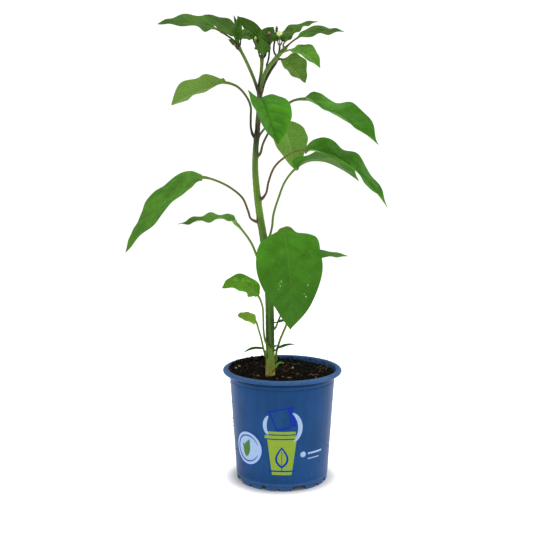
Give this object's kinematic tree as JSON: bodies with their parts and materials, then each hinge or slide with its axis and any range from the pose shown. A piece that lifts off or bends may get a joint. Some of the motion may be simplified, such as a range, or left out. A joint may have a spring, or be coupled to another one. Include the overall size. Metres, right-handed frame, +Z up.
{
  "type": "potted chilli pepper plant",
  "caption": "Young chilli pepper plant with drooping leaves and flower buds, in a round tapered nursery pot of compost.",
  "frame": {"origin": "on the ground at the middle of the pot's round foot", "axes": "+Z up the plant, -Y toward the front, where the large lower leaf hangs; +X to the plant's right seen from the front"},
  "size_m": [0.253, 0.124, 0.4642],
  "materials": {
    "pot": "satin moulded plastic, mid blue",
    "compost": "moist dark potting compost",
    "stem": "green stem, tan at the foot and dark purple toward the top",
    "leaf": "mid green leaf, satin above and paler below",
    "leaf_yellow": "yellow-green young leaf",
    "bud": "cream flower bud on a green stalk",
    "litter": "small bits of bark, grit and a seed case"
  },
  "bodies": {
    "root": {"bark_chip_front": "litter", "bark_chip_front_right": "litter", "bark_chip_left": "litter", "bark_chip_right": "litter", "branch_left": "stem", "branch_middle": "stem", "branch_right_front": "stem", "branch_right_rear": "stem", "bud_middle_dark": "bud", "bud_middle_left": "bud", "bud_right_open": "bud", "bud_right_rear": "bud", "compost": "compost", "grit_far_left": "litter", "grit_left": "litter", "leaf_base_across": "leaf", "leaf_base_left_lower": "leaf_yellow", "leaf_base_left_upper": "leaf_yellow", "leaf_base_right_hidden": "leaf", "leaf_base_right_scale": "leaf", "leaf_front_large": "leaf", "leaf_front_upper": "leaf", "leaf_left_long": "leaf", "leaf_left_small": "leaf", "leaf_left_upper": "leaf", "leaf_rear_centre": "leaf", "leaf_right_low": "leaf", "leaf_right_middle": "leaf", "leaf_right_rear": "leaf", "leaf_right_upper": "leaf", "leaf_top_left": "leaf", "leaf_top_left_inner": "leaf", "leaf_top_left_rear": "leaf", "leaf_top_left_young": "leaf", "leaf_top_middle_cup": "leaf", "leaf_top_middle_left": "leaf", "leaf_top_middle_rear": "leaf", "leaf_top_right": "leaf", "leaf_top_right_front": "leaf", "leaf_top_right_low": "leaf", "leaf_top_right_rear": "leaf", "main_stem": "stem", "pot": "pot", "seed_case": "litter", "seed_leaf_left": "leaf", "seed_leaf_right": "leaf", "sprout": "leaf_yellow"}
  },
  "joints": []
}
